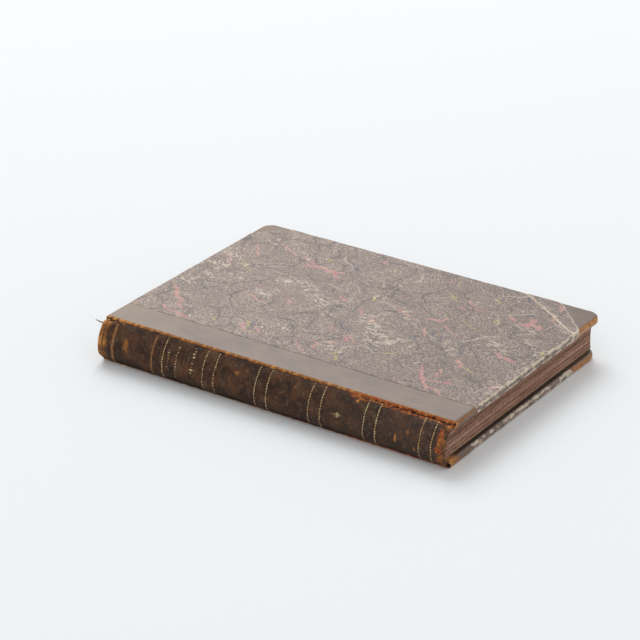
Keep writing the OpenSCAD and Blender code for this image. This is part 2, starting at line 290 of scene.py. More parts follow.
# Colours as they are under plain light; those noted below as painted shade, light or sheen stand in for
# light and shade
tones = {
    "groundMid": (0.205, 0.145, 0.119), "groundDark": (0.155, 0.108, 0.087),
    "groundPale": (0.58, 0.47, 0.402),
    "groundTailShade": (0.075, 0.048, 0.030), "vein": (0.075, 0.057, 0.053), "pink": (0.54, 0.235, 0.245),
    "salmon": (0.57, 0.31, 0.24), "red": (0.56, 0.12, 0.16), "yellow": (0.46, 0.38, 0.13),
    "blue": (0.078, 0.076, 0.105), "cream": (0.70, 0.60, 0.48), "soiled": (0.40, 0.31, 0.22),
    # The first and third tones here are partly painted sheen on dark calf
    "sideSheenBase": (0.215, 0.155, 0.118), "sideWorn": (0.34, 0.215, 0.13), "sideSheenDark": (0.160, 0.116, 0.088),
    "sideShade": (0.100, 0.060, 0.036), "sideTailShade": (0.100, 0.052, 0.020), "sideHeadLight": (0.42, 0.31, 0.20),
    "sidePit": (0.12, 0.060, 0.030), "mashed": (0.62, 0.50, 0.42),
    "wornLeather": (0.40, 0.165, 0.045), "rawLeather": (0.60, 0.27, 0.075), "rust": (0.36, 0.075, 0.016),
    # The tone after crack is painted shade, for the covers' turn-ins beside the pages, the spine's folded
    # ends and its foot
    "crack": (0.014, 0.008, 0.006), "paintedShade": (0.026, 0.017, 0.013),
    "spineDark": (0.031, 0.014, 0.008), "spineWarm": (0.104, 0.044, 0.020), "spineGrey": (0.13, 0.084, 0.05),
    "spineTail": (0.08, 0.064, 0.052), "spinePit": (0.012, 0.007, 0.005), "spineLight": (0.24, 0.165, 0.108),
    "spineFleck": (0.36, 0.24, 0.14), "spineRed": (0.19, 0.050, 0.026), "spineWorn": (0.32, 0.125, 0.034),
    "gold": (0.44, 0.32, 0.13), "goldLight": (0.66, 0.56, 0.33), "goldGone": (0.30, 0.135, 0.040),
    "edgeMid": (0.405, 0.215, 0.142), "edgePale": (0.52, 0.300, 0.208), "edgeDark": (0.215, 0.104, 0.068),
    "edgeLight": (0.50, 0.310, 0.225), "edgeSpeck": (0.115, 0.052, 0.032), "edgeCloud": (0.20, 0.095, 0.058),
    # The first tone here is painted shade for the gaps between the page sections
    "edgeGapShade": (0.030, 0.012, 0.008), "foxing": (0.38, 0.24, 0.11),
    "endpaper": (0.66, 0.56, 0.41), "endpaperStain": (0.50, 0.37, 0.22),
    # The lining's dark brown is partly painted shade, for what shows through the ragged ends of the spine
    "lining": (0.150, 0.100, 0.062), "liningStain": (0.075, 0.045, 0.028),
    "board": (0.36, 0.27, 0.18), "boardDark": (0.24, 0.18, 0.12), "boardPale": (0.50, 0.41, 0.29),
    "cordDark": (0.26, 0.19, 0.10), "cordPale": (0.56, 0.46, 0.30),
    "threadDark": (0.030, 0.018, 0.013), "threadPale": (0.13, 0.080, 0.050),
}
fullTurn = 6.2832
ropePitch = 1.5  # millimetres between two strands of the gilt rope
cordPitch = 1.4


def marbledFinish():
    # Shell marbling: stippled clouds parted by thin dark veins, with drawn streaks of pink, yellow and blue
    f = Finish("marbled paper", 0.5, 0.34)
    p = f.place()
    swirl = f.shift(f.shift(p, 15, p, 34), 2.0, p, 6, 3.0)
    drift = f.place((0.36, 1.7, 1), f.turned(swirl, 0.6))
    level = f.turned(swirl, 0.05)
    edge = f.cells(swirl, 24)
    rings = (edge * 88.0).sine()
    # tailwards grows towards the tail, where the paper gets painted shade for the light falling off
    tailwards = f.step(f.axes(p)[0], -0.05, 0.08)
    cloud = 0.5 * f.spots(swirl, 15, 0.38, 0.60) * (1 - 0.5 * f.step(edge, 0.14, 0.03))
    rich = cloud + 0.35 * tailwards
    f.colour = f.mix(f.spots(drift, 9, 0.32, 0.66, 4.0), "groundDark", "groundMid")
    worm = f.step((f.noise(p, 1.5, 1.0, 0.5) - 0.5).size() - 0.016 * rings, 0.070, 0.024)
    f.paint(worm * (0.48 + 0.46 * rich), "groundPale")
    fine = f.step(f.noise(p, 0.95, 2.0, 0.6) + 0.03 * rings, 0.52, 0.60)
    f.paint(fine * (0.26 + 0.40 * rich), "groundPale")
    f.paint(f.spots(p, 1.2, 0.46, 0.39, 2.0) * (0.55 + 0.38 * tailwards), "vein")
    # painted shade towards the tail
    f.paint(tailwards * 0.30, "groundTailShade")
    vein = f.step(edge, 0.032, 0.012) * (0.35 + 0.65 * f.spots(p, 15, 0.38, 0.54))
    f.paint(vein * 0.70, "vein")
    small = f.cells(f.shift(swirl, 1.5, p, 4), 9)
    f.paint(f.step(small, 0.05, 0.015) * f.spots(p, 20, 0.50, 0.60, 2.0) * 0.35, "vein")
    # drawn colours: a stroke's mark less the distance from the nearest strand
    strand = (f.noise(drift, 2.1, 3.0, 0.6) - 0.5).size()
    spread = f.spots(swirl, 13, 0.58, 0.68, 2.0) * f.step(edge, 0.10, 0.03) * 0.60
    streak = f.step((f.mark("pink") * 1.05).larger(spread) - strand * 4.2, 0.26, 0.48)
    warm = f.mix(f.spots(p, 5, 0.44, 0.54, 2.0), "pink", "salmon")
    f.paint(streak * 0.74, f.mix(f.spots(p, 3.2, 0.58, 0.66, 2.0), warm, "red"))
    spot = f.spots(drift, 3.2, 0.70, 0.74, 2.0) * 0.8
    f.paint((f.step(f.mark("yellow") - strand * 4.5, 0.24, 0.46) * 0.80).larger(spot), "yellow")
    bluish = f.mark("blue") - (f.noise(p, 1.6) - 0.5).size() * 2.4
    f.paint(f.step(bluish, 0.25, 0.55) * 0.75, "blue")
    # pale flakes in short level dashes, and a few long cream hairs
    flaky = f.mark("flakes")
    chips = f.step(f.noise(f.place((0.45, 1.5, 1), level), 2.5, 4.0, 0.62) + 0.12 * flaky, 0.645, 0.68)
    dashed = f.shift(f.place((0.42, 1.5, 1), level), 0.8, p, 2.5)
    dashes = f.step(f.cells(dashed, 2.5, "F1"), 0.38, 0.26)
    flakes = (dashes * f.step(f.noise(p, 5) + 0.16 * flaky, 0.50, 0.60)).larger(chips * 0.9)
    flakes = flakes * f.step(f.noise(p, 17, 2.0) + 0.35 * flaky, 0.47, 0.60) * (1 - 0.35 * tailwards)
    f.paint(flakes * 0.80, "cream")
    hair = f.step(f.cells(f.shift(p, 16, p, 60), 31), 0.012, 0.003)
    f.paint(hair * f.spots(p, 22, 0.48, 0.58, 2.0) * 0.40, "cream")
    # paper rubbed bare, and soiled where it isn't fresh
    rub = f.mark("rub")
    bare = f.step(rub * 1.2 + f.stray(p, 1.3, 1.9, 0.72), 0.55, 0.85)
    soil = f.spots(p, 2.6, 0.46, 0.60, 5.0, 0.7) * f.step(rub, 1.20, 0.90)
    f.paint(bare * 0.9, f.mix(soil, "cream", "soiled"))
    # painted shade on the turned-in side beside the pages
    f.paint(f.mark("paintedShade") * 0.9, "paintedShade")
    height = worm * 0.3 - flakes * 0.5 - bare * 0.8
    return f.done(height, 0.08, 0.47 + 0.25 * bare + 0.06 * worm)


def sideLeatherFinish():
    # Smooth brown calf under its old polish, in pale taupe tones that are partly painted sheen, dull and
    # orange where it is rubbed through
    f = Finish("side leather", 0.42, 0.38)
    p = f.place()
    x = f.axes(p)[0]
    grain = f.noise(p, 0.45, 3.0, 0.6)
    pores = f.cells(f.shift(p, 0.3, p, 1), 0.7, "F1")
    patch = f.noise(p, 16)
    drag = f.noise(f.place((0.25, 1.4, 1)), 3.5)
    # both tones are pale taupe: the dark calf with painted sheen of the soft light
    f.colour = f.mix(f.step(patch, 0.32, 0.70), "sideSheenDark", "sideSheenBase")
    f.paint(f.mark("dark") * 0.75, "sideShade")
    # painted shade towards the tail and painted light towards the head, as the light falls along the book
    f.paint(f.step(x, -0.04, 0.10) * 0.16, "sideTailShade")
    f.paint(f.step(drag, 0.50, 0.72) * 0.22, "sideWorn")
    f.paint(f.step(x, -0.05, -0.11) * 0.22, "sideHeadLight")
    rub = f.mark("rub") * 1.3 + f.stray(p, 1.4, 2.1, 0.74)
    worn = f.step(rub, 0.50, 0.95)
    f.paint(worn * 0.85, "wornLeather")
    f.paint(f.step(rub, 0.98, 1.35) * 0.85, "rawLeather")
    f.paint(f.spots(p, 1.1, 0.52, 0.40) * worn * 0.7, "sidePit")
    f.paint(f.mark("pale") * f.spots(p, 1.3, 0.35, 0.55), "mashed")
    f.paint(f.spots(f.place((0.4, 1.3, 1)), 1.8, 0.64, 0.72, 4.0, 0.7) * 0.35, "sideWorn")
    # painted shade on the turned-in side beside the pages
    f.paint(f.mark("paintedShade") * 0.85, "paintedShade")
    height = grain * 0.4 + f.step(pores, 0.0, 0.35) * 0.25 + drag * 0.4 - worn * 0.6
    return f.done(height, 0.05, 0.38 + 0.08 * patch + 0.30 * worn)


def spineLeatherFinish():
    # Dark calf of the spine: grain, rubbed lights, reddish patches, and orange where the face is gone
    f = Finish("spine leather", 0.42, 0.13)
    p = f.place()
    grain = f.noise(p, 0.5, 4.0, 0.65)
    craze = f.cells(f.shift(p, 1.0, p, 2, 3.0), 1.3)
    patch = f.noise(p, 8, 5.0, 0.62)
    f.colour = f.mix(f.step(patch, 0.34, 0.68), "spineDark", "spineWarm")
    f.paint(f.spots(f.place((1, 0.5, 0.5)), 4, 0.52, 0.70, 5.0, 0.62) * 0.40, "spineGrey")
    f.paint(f.step(f.axes(p)[0], 0.0, 0.10) * 0.30, "spineTail")
    band = f.mark("band")
    mottle = f.spots(p, 1.9, 0.46, 0.60, 4.0, 0.7)
    f.paint((0.16 + 0.42 * band) * mottle, "spinePit")
    lights = f.spots(f.place((1.25, 0.6, 0.6)), 1.7, 0.545, 0.70, 4.0, 0.75)
    f.paint(lights * (0.50 + 0.22 * band), "spineLight")
    f.paint(f.spots(f.place((1.6, 0.5, 0.5)), 1.4, 0.66, 0.72, 3.0, 0.7) * 0.50, "spineFleck")
    f.paint(f.spots(p, 3.4, 0.58, 0.70, 4.0, 0.65) * 0.30, "spineRed")
    rub = f.mark("rub") * 1.3 + f.stray(p, 1.6, 1.9, 0.75)
    worn = f.step(rub, 0.50, 0.95)
    f.paint(worn * 0.85, "spineWorn")
    f.paint(f.step(rub, 1.05, 1.45) * 0.90, "rawLeather")
    crack = f.mark("crack")
    rust = f.step(crack + f.stray(p, 2.2, 1.1, 0.7, 4.0), 0.16, 0.42)
    f.paint(rust * 0.85, f.mix(f.spots(p, 1.3, 0.50, 0.64) * 0.8, "rust", "rawLeather"))
    torn = f.step(crack * 1.15 + f.stray(f.place((0.35, 1, 1)), 1.0, 1.6, 0.7, 4.0), 0.60, 0.78)
    f.paint(torn, "crack")
    # painted shade on the folded-in ends and towards the foot of the spine
    f.paint(f.mark("paintedShade") * 0.85, "paintedShade")
    height = grain * 0.6 + f.step(craze, 0.0, 0.10) * 0.4 + mottle * 0.5 - worn * 0.8 - torn * 2
    return f.done(height, 0.12, 0.36 + 0.14 * patch + 0.30 * worn)


def giltFinish():
    # Gold leaf of a small rope roll, rubbed off in places down to the leather
    f = Finish("gilt", 0.40, 0.20)
    p = f.place()
    across, along, _ = f.axes(f.uv())
    twist = ((along + across * 0.7) * (fullTurn / ropePitch)).sine()
    left = f.mark("gold") * 1.25 + f.stray(p, 1.4, 2.0, 0.78) + twist * 0.34
    gold = f.step(left, 0.50, 0.95)
    mottle = f.spots(p, 1.3, 0.36, 0.62, 4.0, 0.7)
    f.colour = f.mix(mottle, "crack", "spineWarm")
    f.paint(f.mark("rub") * (0.30 + 0.70 * mottle), "goldGone")
    f.paint(gold * 0.9, f.mix(f.spots(p, 1.1, 0.42, 0.60, 2.0), "gold", "goldLight"))
    return f.done(gold * 0.6 + twist * 0.4, 0.06, 0.55 - 0.15 * gold, gold * 0.25)


def pageFinish():
    # Edges of old rag leaves under faded red-brown staining, with painted shade in the gaps between the
    # sections
    f = Finish("page edges", 0.8, 0.20)
    p = f.place()
    leaf = f.place((0.04, 1, 1), f.uv())
    lines = f.noise(leaf, 0.62, 3.0, 0.7)
    f.colour = f.mix(f.step(lines, 0.43, 0.55), "edgeDark", "edgeMid")
    f.paint(f.spots(leaf, 1.5, 0.44, 0.60, 3.0, 0.6) * 0.70, "edgePale")
    speck = f.noise(f.place((1, 0.55, 1)), 1.0, 3.0, 0.7)
    f.paint(f.step(speck, 0.50, 0.64) * 0.50, "edgeLight")
    f.paint(f.step(speck, 0.47, 0.36) * 0.55, "edgeSpeck")
    f.paint(f.spots(p, 7, 0.52, 0.72, 4.0) * 0.35, "edgeCloud")
    parted = f.spots(f.place((0.05, 0.5, 1), f.uv()), 1.2, 0.36, 0.56, 3.0, 0.7)
    # painted shade in the gaps between the sections
    f.paint(f.mark("gap") * (0.50 + 0.48 * parted), "edgeGapShade")
    return f.done(lines * 0.8 + speck * 0.4, 0.12)


def paperFinish(name, base, stain):
    # Aged rag paper: cloudy, foxed and toned towards its edges
    f = Finish(name, 0.8, 0.3)
    p = f.place()
    x, y, _ = f.axes(p)
    rim = f.step(x.size() / mm, 88, 116).larger(f.step(y.size() / mm, 66, 88))
    f.colour = f.mix(f.spots(p, 38, 0.30, 0.75, 6.0, 0.6) * 0.35, base, stain)
    f.paint(f.spots(p, 2.4, 0.68, 0.76) * 0.5, "foxing")
    f.paint(rim * (0.25 + 0.5 * f.noise(p, 11, 4.0)), stain)
    return f.done(f.noise(f.place((1, 0.3, 1)), 0.5), 0.05)


def boardFinish():
    # Grey-brown millboard of pulped rope, in thin pressed layers
    f = Finish("millboard", 0.85)
    p = f.place()
    layers = f.noise(f.place((0.15, 0.15, 1)), 0.35, 2.0)
    f.colour = f.mix(f.noise(p, 1.5, 4.0, 0.7), "boardDark", "board")
    f.paint(f.step(layers, 0.5, 0.7) * 0.4, "boardPale")
    return f.done(layers + f.noise(p, 0.6), 0.12)


def cordFinish():
    # Hemp cord, two plies twisted
    f = Finish("hemp cord", 0.85)
    x, y, z = f.axes(f.place())
    ply = ((x * 0.8 + z + y) * (fullTurn / (cordPitch * mm))).sine()
    f.colour = f.mix(f.step(ply, -0.6, 0.8), "cordDark", "cordPale")
    return f.done(ply, 0.15)


def threadFinish():
    # Old linen thread, dark with glue
    f = Finish("thread", 0.8)
    p = f.place()
    f.colour = f.mix(f.spots(p, 1.2, 0.42, 0.60), "threadDark", "threadPale")
    return f.done(f.noise(p, 0.3, 2.0), 0.05)


finishes = {
    "thread": threadFinish(), "marbled": marbledFinish(), "side": sideLeatherFinish(),
    "spine": spineLeatherFinish(), "gilt": giltFinish(), "pages": pageFinish(),
    "endpaper": paperFinish("endpaper", "endpaper", "endpaperStain"),
    "lining": paperFinish("spine lining", "lining", "liningStain"),
    "board": boardFinish(), "cord": cordFinish(),
}
print("finishes ready")


# Covers: a flat sheet is laid over the board and wrapped round its edges

cover = {
    "side": 21.5, "flatCols": 350, "flatRows": 205, "proud": 0.14, "ripple": 0.05,
    "head": {"leg": 20.0, "along": 27.0, "across": 24.0},
    "tail": {"leg": 27.0, "along": 44.0, "across": 32.0},
    # reach of the leather corners under the paper, along the book and across it
    "ridge": {"head": (27.0, 24.0), "tail": (50.0, 33.5)},
    "leatherCols": 220, "cornerLift": 0.04,
    "backTurn": 165,  # the back paper has the same strokes, turned end for end: this is the sum of the two y
}

# Drawn marks of the front paper: their middles from the book's middle and from the joint, half lengths,
# half widths and slopes
strokes = {
    "pink": (
        (76, 31, 8, 1.3, -48), (85, 26, 8, 1.1, -24), (83, 35, 8, 0.9, 12), (70, 39, 7, 0.8, -62),
        (-97, 44, 13, 1.7, -48), (91, 124, 5.5, 2.6, -53), (87, 121, 4, 1.4, 20), (-48, 121, 11, 1.8, 2),
        (-39, 118, 5, 1.6, -40), (-86, 26, 10, 1.5, -17), (98, 79, 7, 1.8, -20), (43, 100, 6, 1.3, 34),
        (55, 92, 9, 0.8, -30), (-43, 32, 4.6, 1.7, -54), (81, 60, 4, 1.7, -56), (13, 77, 2.8, 2.0, -58),
        (47, 129, 3.6, 1.5, -24), (3, 36, 4, 1.3, -63), (96, 137, 3.6, 1.4, -70), (14, 51, 3, 1.7, 80),
        (111, 46, 2.6, 1.5, 70), (-96, 121, 8, 0.9, -54), (-80, 132, 9, 0.8, -30), (76, 125, 3.4, 1.4, -32),
        (78, 44, 4.4, 1.1, -80), (-61, 126, 6, 1.1, -25), (-25, 149, 2.4, 1.8, -17),
        (-34, 33, 3.2, 1.3, -38), (45, 82, 3.6, 1.1, -54), (-16, 93, 3.6, 1.2, -22),
        (105, 142, 5, 0.8, -57), (93, 151, 3.4, 1.1, -60), (1, 85, 3, 1.2, -46), (10, 43, 2.4, 1.3, 23),
        (-41, 74, 4.2, 0.9, -47), (-58, 66, 9, 0.8, -20), (-2, 28, 6, 0.8, -40), (-105, 104, 7, 0.9, -40),
        (22, 97, 10, 0.7, -20)),
    "yellow": (
        (35, 130, 5, 0.9, -35), (72, 115, 2.8, 1.3, -52), (19, 34, 2.4, 1.3, 55), (22, 28, 3, 0.9, -62),
        (59, 139, 3, 0.9, -50), (-42, 36, 3.2, 1.2, -60), (-36, 29, 1.6, 1.2, 30),
        (-52, 133, 2.6, 1.4, -40), (-2, 104, 3.4, 1.1, -70), (88, 56, 6, 0.7, -25), (60, 104, 6, 0.6, -30),
        (-88, 99, 6, 0.8, -35), (44, 50, 4, 0.8, 50)),
    "blue": (
        (84, 135, 3.4, 2.0, 52), (54, 81, 4.4, 1.3, -25), (-40, 38, 4.6, 1.4, -67),
        (-34, 133, 4.2, 1.4, -38), (72, 151, 3, 1.2, -61), (16, 73, 2.2, 1.2, -67), (75, 72, 2.6, 1.1, -67),
        (94, 33, 2, 1.1, -34), (44, 73, 2.4, 1.0, -60), (22, 33, 1.8, 1.2, 63), (-90, 61, 2.2, 1.0, -35),
        (4, 62, 5, 1.2, -30)),
    "flakes": (
        (20, 72, 15, 9, -35), (-107, 92, 12, 6, -30), (-28, 87, 13, 5, -25), (-110, 66, 5, 8, 0),
        (-99, 105, 8, 3, -30), (34, 62, 12, 6, 10), (96, 108, 9, 4, -50), (99, 136, 18, 2.5, -40),
        (85, 92, 8, 3, -30), (66, 72, 8, 3, -50), (17, 35, 5, 2, -20), (-58, 76, 6, 4, 30),
        (26, 95, 8, 3, -50), (-60, 95, 5, 4, -40), (112, 60, 2, 30, 0)),
}
bend = book["edgeR"] + book["leatherT"]
# Distances from the end of the flat face to the parts of the way round a board's edge
wrapArc = bend * math.pi / 2
wrapEdge = book["boardT"] + 2 * book["leatherT"] - 2 * bend
wrapLow = wrapArc + wrapEdge
wrapIn = 2 * wrapArc + wrapEdge
wrapAll = wrapIn + book["turnIn"] - bend


def wrapProfile(s):
    # A quarter round, the board's edge, a second quarter round and the turned-in side:
    # distance past the flat face -> how far out and down it lies, and how the surface faces out and up
    upper, lower = np.clip(s, 0, wrapArc) / bend, np.clip(s - wrapLow, 0, wrapArc) / bend
    out = bend * np.sin(upper) - bend * (1 - np.cos(lower)) - np.maximum(0, s - wrapIn)
    down = bend * (1 - np.cos(upper)) + np.clip(s - wrapArc, 0, wrapEdge) + bend * np.sin(lower)
    lean = np.where(s < wrapLow, np.sin(upper), np.cos(lower))
    rise = np.where(s < wrapLow, np.cos(upper), -np.sin(lower))
    return np.where(s > 0, out, 0), down, lean, rise


def wrapSheet(x, y, lift):
    # A point of the flat sheet past the board's rounded outline goes round the edge by that distance
    radius = book["cornerR"]
    flatR = radius - bend
    qx = np.clip(x, radius - halfH, halfH - radius)
    qy = np.minimum(y, book["width"] - radius)
    dx, dy = x - qx, y - qy
    r = np.hypot(dx, dy)
    ux, uy = dx / np.maximum(r, tiny), dy / np.maximum(r, tiny)
    s = r - flatR
    out, down, lean, rise = wrapProfile(s)
    reach = np.minimum(r, flatR) + out + lift * lean
    return np.stack([qx + ux * reach, qy + uy * reach, -down + lift * rise], -1), s


def seat(points, front):
    # Points of a cover, z up from its outer face, into the book's frame; the back cover is turned over
    if front:
        return points + (0, book["hingeY"], book["thickness"])
    return points * (1, 1, -1) + (0, book["hingeY"] - book["lean"], 0)


def sideName(front):
    return "front" if front else "back"


def coverPiece(name, points, front, finish, marks, mirrored=False):
    # Cells run the other way on the back cover, which is turned over, and in a mirrored piece
    quads = gridFaces(*points.shape[:2], flip=mirrored == front)
    return makeMesh(sideName(front) + name, seat(points, front), quads, finishes[finish], marks)


def roundEdge(count):
    # Distances of the samples round a board's edge, count of them on the upper quarter round
    return np.concatenate([
        np.linspace(0, wrapArc, count)[1:], wrapArc + np.linspace(0, wrapEdge, 3)[1:],
        wrapLow + np.linspace(0, wrapArc, 7)[1:]])


def sheetSamples(start, end, count, wrapBoth):
    # Even samples of the flat part and close ones round an edge
    past = np.concatenate([roundEdge(8), wrapIn + np.linspace(0, book["turnIn"] - bend, 7)[1:]])
    flat = np.linspace(start, end, count)
    if wrapBoth:
        flat = np.concatenate([start - past[::-1], flat])
    return np.concatenate([flat, end + past])


def ridgeStep(x, y):
    # The paper lifts where a leather corner lies under it: 1 over the leather, 0 past its edge
    over, rim = 0, 0
    for side, key in ((-1, "head"), (1, "tail")):
        along, across = cover["ridge"][key]
        fromX, fromY = halfH - side * x, book["width"] - y
        d = (fromX / along + fromY / across - 1) / math.hypot(1 / along, 1 / across)
        d = d + 0.4 * wander(side + 40, 14, x, y)
        over = over + smooth(d, 0.5, -0.5)
        rim = rim + hump(d, 0.6) * (1.25 if key == "tail" else 0.35)
    return over, rim


def drawStrokes(kind, x, y):
    # A stroke is a long soft spot, 1 in its middle, whose line bends a little
    total = 0 * x
    for i, (cx, cy, long, wide, slope) in enumerate(strokes[kind]):
        turn = math.radians(slope)
        u = (x - cx) * math.cos(turn) + (y - cy) * math.sin(turn)
        v = (y - cy) * math.cos(turn) - (x - cx) * math.sin(turn)
        v = v + 0.9 * wide * wander(200 + i, 1.3 * long, u)
        total = np.maximum(total, np.exp(-np.abs(u / (1.6 * long)) ** 3 - (v / (1.05 * wide)) ** 2))
    return total


def turnInShadeAt(s):
    # Painted shade on the turned-in side, darkest beside the pages
    return smooth(s, wrapLow + 1.3, wrapIn) * (1 - 0.55 * smooth(s, wrapAll - 6, wrapAll))


def marbledPaper(front):
    # A flat grid that wavers beside the leather, with both fore corners cut off, wrapped round the board
    seed = 5 if front else 25
    start = cover["side"]
    xs = sheetSamples(-halfH + bend, halfH - bend, cover["flatCols"], True)
    ys = sheetSamples(start, book["width"] - bend, cover["flatRows"], False)
    x, y = np.meshgrid(xs, ys)
    y = y + 0.22 * wander(seed, 7, x) * smooth(y, start + 3, start)
    cutHead = book["width"] - cover["head"]["leg"] + 0.25 * wander(seed, 4, y)
    cutTail = book["width"] - cover["tail"]["leg"] + 0.25 * wander(seed + 1, 4, y)
    low, high = y - cutHead - halfH, halfH + cutTail - y
    x = np.clip(x, low, high)
    over, rim = ridgeStep(x, y)
    lift = cover["proud"] + cover["ripple"] * wander(seed + 3, 16, x, y) + 0.16 * over
    lift = (lift * smooth(y, start - 0.2, start + 0.9) + 0.02) * (1 if front else 0.4)
    s = wrapSheet(x, y, 0)[1]
    lift = lift * smooth(s, wrapIn + 1.5, wrapLow) - 0.12 * smooth(s, wrapIn + 1, wrapAll - 4)
    points = wrapSheet(x, y, lift)[0]
    # rubbed bare along both edges of the board's thickness, most at the tail
    stray = 0.45 * wander(seed + 8, 5, x, y) + 0.25 * wander(seed + 9, 2, x, y)
    upper = hump(s - 0.9 - stray, 0.80)
    lower = hump(s - wrapLow - 0.5 + stray, 0.75) * smooth(wander(seed + 10, 9, x, y), -0.7, 0.3)
    between = smooth(s, 0.5, 1.5) * smooth(s, 6.4, 5.4)
    atTail = smooth(np.abs(x) - halfH, book["edgeR"] * -3, 0) * np.where(x > 0, 1.0, 0.75)
    rub = (1.50 * upper + 0.85 * lower + 0.30 * between) * np.maximum(atTail, 0.62)
    rub = np.minimum(rub * (1 if front else 1.2), 1.4) * (0.90 + 0.30 * wander(seed + 6, 6, x, y))
    # and beside the leather, over the corners' edges and along the cuts
    rub = rub + fall(y - start, 0.7) * (0.20 + 1.0 * smooth(x, -78, -104)) + 0.95 * rim
    rub = rub + 0.75 * fall(np.minimum(x - low, high - x) / math.sqrt(2), 0.9) + 0.16 * over * (x > 0)
    # the second mark is painted shade on the turned-in side
    marks = {"rub": rub, "paintedShade": turnInShadeAt(s)}
    for kind in strokes:
        if front:
            marks[kind] = drawStrokes(kind, x, y)
        else:
            marks[kind] = 0.8 * drawStrokes(kind, -x, cover["backTurn"] - y)
    return coverPiece("_marbled_sheet", points, front, "marbled", marks)


def sideLeather(front):
    # A flat strip beside the joint, sunk where the paper laps over it, wrapped round head and tail
    seed = 9 if front else 29
    start = cover["side"]
    xs = sheetSamples(-halfH + bend, halfH - bend, cover["leatherCols"], True)
    ys = np.concatenate([np.linspace(0.9, 6.5, 13), np.linspace(7, start + 2.5, 22)])
    x, y = np.meshgrid(xs, ys)
    reach = wrapArc + 0.6 + (wrapAll - wrapArc - 0.6) * smooth(y, 0.9, 1.6)
    x = np.clip(x, -halfH + bend - reach, halfH - bend + reach)
    under = smooth(y, start - 0.3, start + 0.8)
    lift = 0.05 * wander(seed, 13, x, y) - 0.22 * under - 0.14 * smooth(y, 2.0, 0.9)
    s = wrapSheet(x, y, 0)[1]
    points = wrapSheet(x, y, lift - 0.10 * smooth(s, wrapIn + 1, wrapAll - 4))[0]
    rub = 0.62 * fall(halfH - np.abs(x) - 0.6, 0.5) * np.where(s > wrapArc * 1.2, 0.50, 1.0)
    rub = rub + 0.75 * fall(y - 1.7, 0.40) * (0.75 + 0.25 * smooth(x, 30, 95))
    # Beside the spine the board's edge gets painted shade (the dark mark) as well as more rubbing
    nearSpine = smooth(y, 13, 4) * smooth(s, 0, 1.5) * np.where(x > 0, 1, 0.5)
    rub = rub + (0.15 if front else 0.55) * nearSpine
    marks = {"rub": rub, "dark": nearSpine * 0.6, "paintedShade": turnInShadeAt(s) * smooth(y, 3, 9)}
    return coverPiece("_side_skin", points, front, "side", marks)


def cornerLeather(key, front):
    # Ribs run from a slanting line on the flat face to the outline, over the edge and in to the turn-in
    seed = {"head": 13, "tail": 17}[key] + (0 if front else 20)
    side = -1 if key == "head" else 1
    size = cover[key]
    radius = book["cornerR"]
    flatR = radius - bend
    arc = flatR * math.pi / 2
    # the outline: straight across, round the corner, straight along
    lineA, lineC = size["across"] - radius, size["along"] - radius
    a = np.concatenate([
        np.linspace(0, lineA, 22)[:-1], lineA + np.linspace(0, arc, 17)[:-1],
        lineA + arc + np.linspace(0, lineC, 30)])
    turn = np.clip((a - lineA) / flatR, 0, math.pi / 2)
    px = halfH - radius + flatR * np.cos(turn) - np.maximum(0, a - lineA - arc)
    py = book["width"] - radius + flatR * np.sin(turn) - np.maximum(0, lineA - a)
    share = a / a[-1]
    sx, sy = px[0] + (px[-1] - px[0]) * share, py[0] + (py[-1] - py[0]) * share
    flat = np.linspace(0, 1, 26)[:, None]
    lift = cover["cornerLift"]
    fx, fy = sx + (px - sx) * flat, sy + (py - sy) * flat
    gap = (halfH - fx + book["width"] - fy - size["leg"]) / math.sqrt(2)
    face = np.stack([fx, fy, lift - 0.24 * smooth(gap, -0.6, 0.3)], -1)
    s = roundEdge(9)[:, None]
    out, down, lean, rise = wrapProfile(s)
    reach = out + lift * lean
    edge = np.stack([px + np.cos(turn) * reach, py + np.sin(turn) * reach, -down + lift * rise + 0 * px], -1)
    inner = np.linspace(0, 1, 9)[1:, None]
    ix, iy = np.minimum(px, halfH - book["turnIn"]), np.minimum(py, book["width"] - book["turnIn"])
    low = -(book["boardT"] + 2 * book["leatherT"]) - lift
    tuck = np.stack([px + (ix - px) * inner, py + (iy - py) * inner, low + 0 * inner * px], -1)
    points = np.concatenate([face, edge, tuck])
    # s is -1 on the flat face and tucked on the turned-in side
    tucked = 20.0
    s = np.concatenate([np.full(len(flat), -1.0), s[:, 0], np.full(len(inner), tucked)])[:, None] + 0 * px
    # the tip is pressed towards the middle of the corner's round
    tip = hump(turn - math.pi / 4, 0.9)
    mash = 0.55 * tip * (1 + 0.6 * wander(seed, 2.5, points[..., 0], points[..., 1], points[..., 2]))
    press = smooth(s, -1.5, wrapArc) * mash * 0.5 * (s < tucked)
    centre = np.array([halfH - radius, book["width"] - radius, -2.3])
    points = points - (points - centre) / radius * press[..., None]
    toEnd, toFore = halfH - points[..., 0], book["width"] - points[..., 1]
    toEdge = np.minimum(toEnd, toFore)
    rub = 0.92 * fall(toEnd - 0.6, 0.5) + 0.34 * fall(toFore - 0.7, 0.5) + 0.35 * tip * (toEdge < 3)
    rub = np.where(s < tucked, rub, 0.1) * (1 - 0.30 * smooth(s, wrapArc, wrapArc + 1.5))
    if key == "head":
        rub = rub + 0.42 * tip * smooth(toEdge, 7, 1) * (s < 2)
    dark = (0.80 if key == "head" else 0.95) + 0.20 * smooth(toEdge, 4, 0)
    pale = tip * smooth(s, wrapArc * 0.8, wrapLow) * smooth(s, 15, 6) * (1.0 if front else 0.3)
    marks = {"rub": np.minimum(rub, 1.2), "pale": pale, "dark": dark, "paintedShade": turnInShadeAt(s) * (s < tucked)}
    points[..., 0] *= side
    return coverPiece("_" + key + "_corner_skin", points, front, "side", marks, mirrored=side < 0)


for front in (True, False):
    word = sideName(front)
    for piece, node in (
            (marbledPaper(front), "marbled_paper"), (sideLeather(front), "leather_side"),
            (cornerLeather("head", front), "head_corner"), (cornerLeather("tail", front), "tail_corner")):
        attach(piece, word + "_cover")
        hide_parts(word + "_" + node)
print("covers dressed")


# Spine: the skin is carried round the back of the book, with bands in relief and both ends folded in

